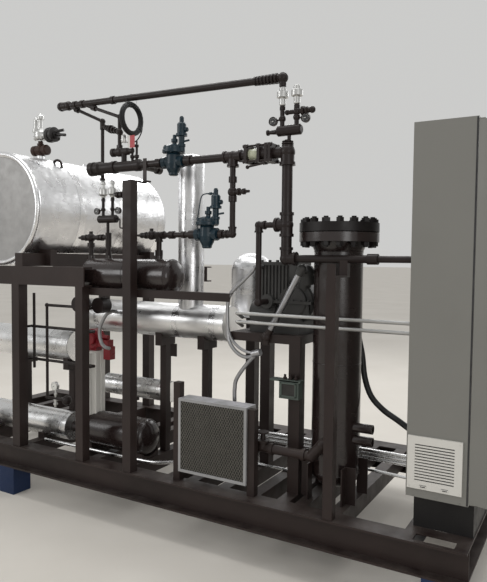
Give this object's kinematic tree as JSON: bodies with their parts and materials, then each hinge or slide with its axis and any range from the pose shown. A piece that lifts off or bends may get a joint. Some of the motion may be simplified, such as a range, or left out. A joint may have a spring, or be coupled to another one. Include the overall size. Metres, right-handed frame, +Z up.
{
  "type": "skid-mounted industrial boiler plant",
  "caption": "Skid-mounted industrial boiler plant: foil-jacketed tank, upright bolted vessel, drum, valves and pipework, compressor, cooler and a control cabinet with a hinged door.",
  "frame": {"origin": "middle of the bounding box in X and Y, at the floor under the blocks", "axes": "+X along the skid towards the control cabinet, +Y to the rear, +Z up"},
  "size_m": [5.1286, 1.822, 2.813],
  "materials": {
    "steel_brown": "satin dark brown paint, worn",
    "pipe_black": "black painted pipe and fittings, slightly dusty",
    "foil": "crinkled aluminium foil jacket with taped seams",
    "valve_blue": "dark blue-green enamel",
    "silver": "dull silver metal",
    "cabinet_grey": "smooth grey powder coat",
    "cream": "matt cream",
    "red": "red enamel",
    "machine_grey": "grey machine enamel, dusty",
    "pale_glass": "pale sight-glass barrel, slightly clouded",
    "block_blue": "blue paint, worn",
    "hose_black": "black rubber",
    "core_dark": "dark finned core behind mesh",
    "plinth_black": "black paint"
  },
  "bodies": {
    "frame": {"skid_rails": "steel_brown", "cross_members": "steel_brown", "support_blocks": "block_blue", "tank_posts": "steel_brown", "tank_beams": "steel_brown", "tank_saddles": "steel_brown", "tank_shell": "foil", "tank_near_cap": "foil", "tank_far_head": "foil", "tank_stop_valve": "pipe_black", "tank_relief_valve": "silver", "drum_shell": "steel_brown", "drum_rail": "steel_brown", "pipe_posts": "steel_brown", "vessel_shell": "steel_brown", "vessel_cover": "pipe_black", "vessel_studs": "pipe_black", "vessel_legs": "steel_brown", "vessel_post": "steel_brown", "inlet_pipe": "steel_brown", "riser_pipe": "pipe_black", "cabinet_pipe": "pipe_black", "header_pipe": "pipe_black", "upper_pilot_valve": "valve_blue", "lower_pilot_valve": "valve_blue", "sight_glass": "pipe_black", "sight_window": "pale_glass", "branch_pipe": "pipe_black", "top_relief_body": "pipe_black", "top_relief_valves": "silver", "drum_relief_body": "pipe_black", "drum_relief_valves": "silver", "vent_pipe": "pipe_black", "hanging_coil": "hose_black", "coil_tag": "red", "compressor": "machine_grey", "compressor_stand": "steel_brown", "foil_receiver": "foil", "insulated_main": "foil", "insulated_riser": "foil", "lower_exchanger": "foil", "upper_exchanger": "foil", "pipe_stands": "steel_brown", "filter_canister": "cream", "red_pump": "red", "brown_receiver": "steel_brown", "small_bore_loop": "pipe_black", "silver_tubes": "silver", "flexible_hoses": "silver", "cooler_frame": "silver", "cooler_core": "core_dark", "cooler_posts": "steel_brown", "cabinet_body": "cabinet_grey", "cabinet_grille": "cream", "cabinet_pedestal": "plinth_black", "conduits": "silver", "cable_hose": "hose_black"},
    "door": {"cabinet_door": "cabinet_grey"}
  },
  "joints": [
    {"name": "cabinet_door_hinge", "type": "hinge", "parent": "frame", "child": "door", "pos_m": [1.6907, -0.66204, 1.4465], "axis": [0, 0, 1], "range_deg": [-5, 105]}
  ]
}
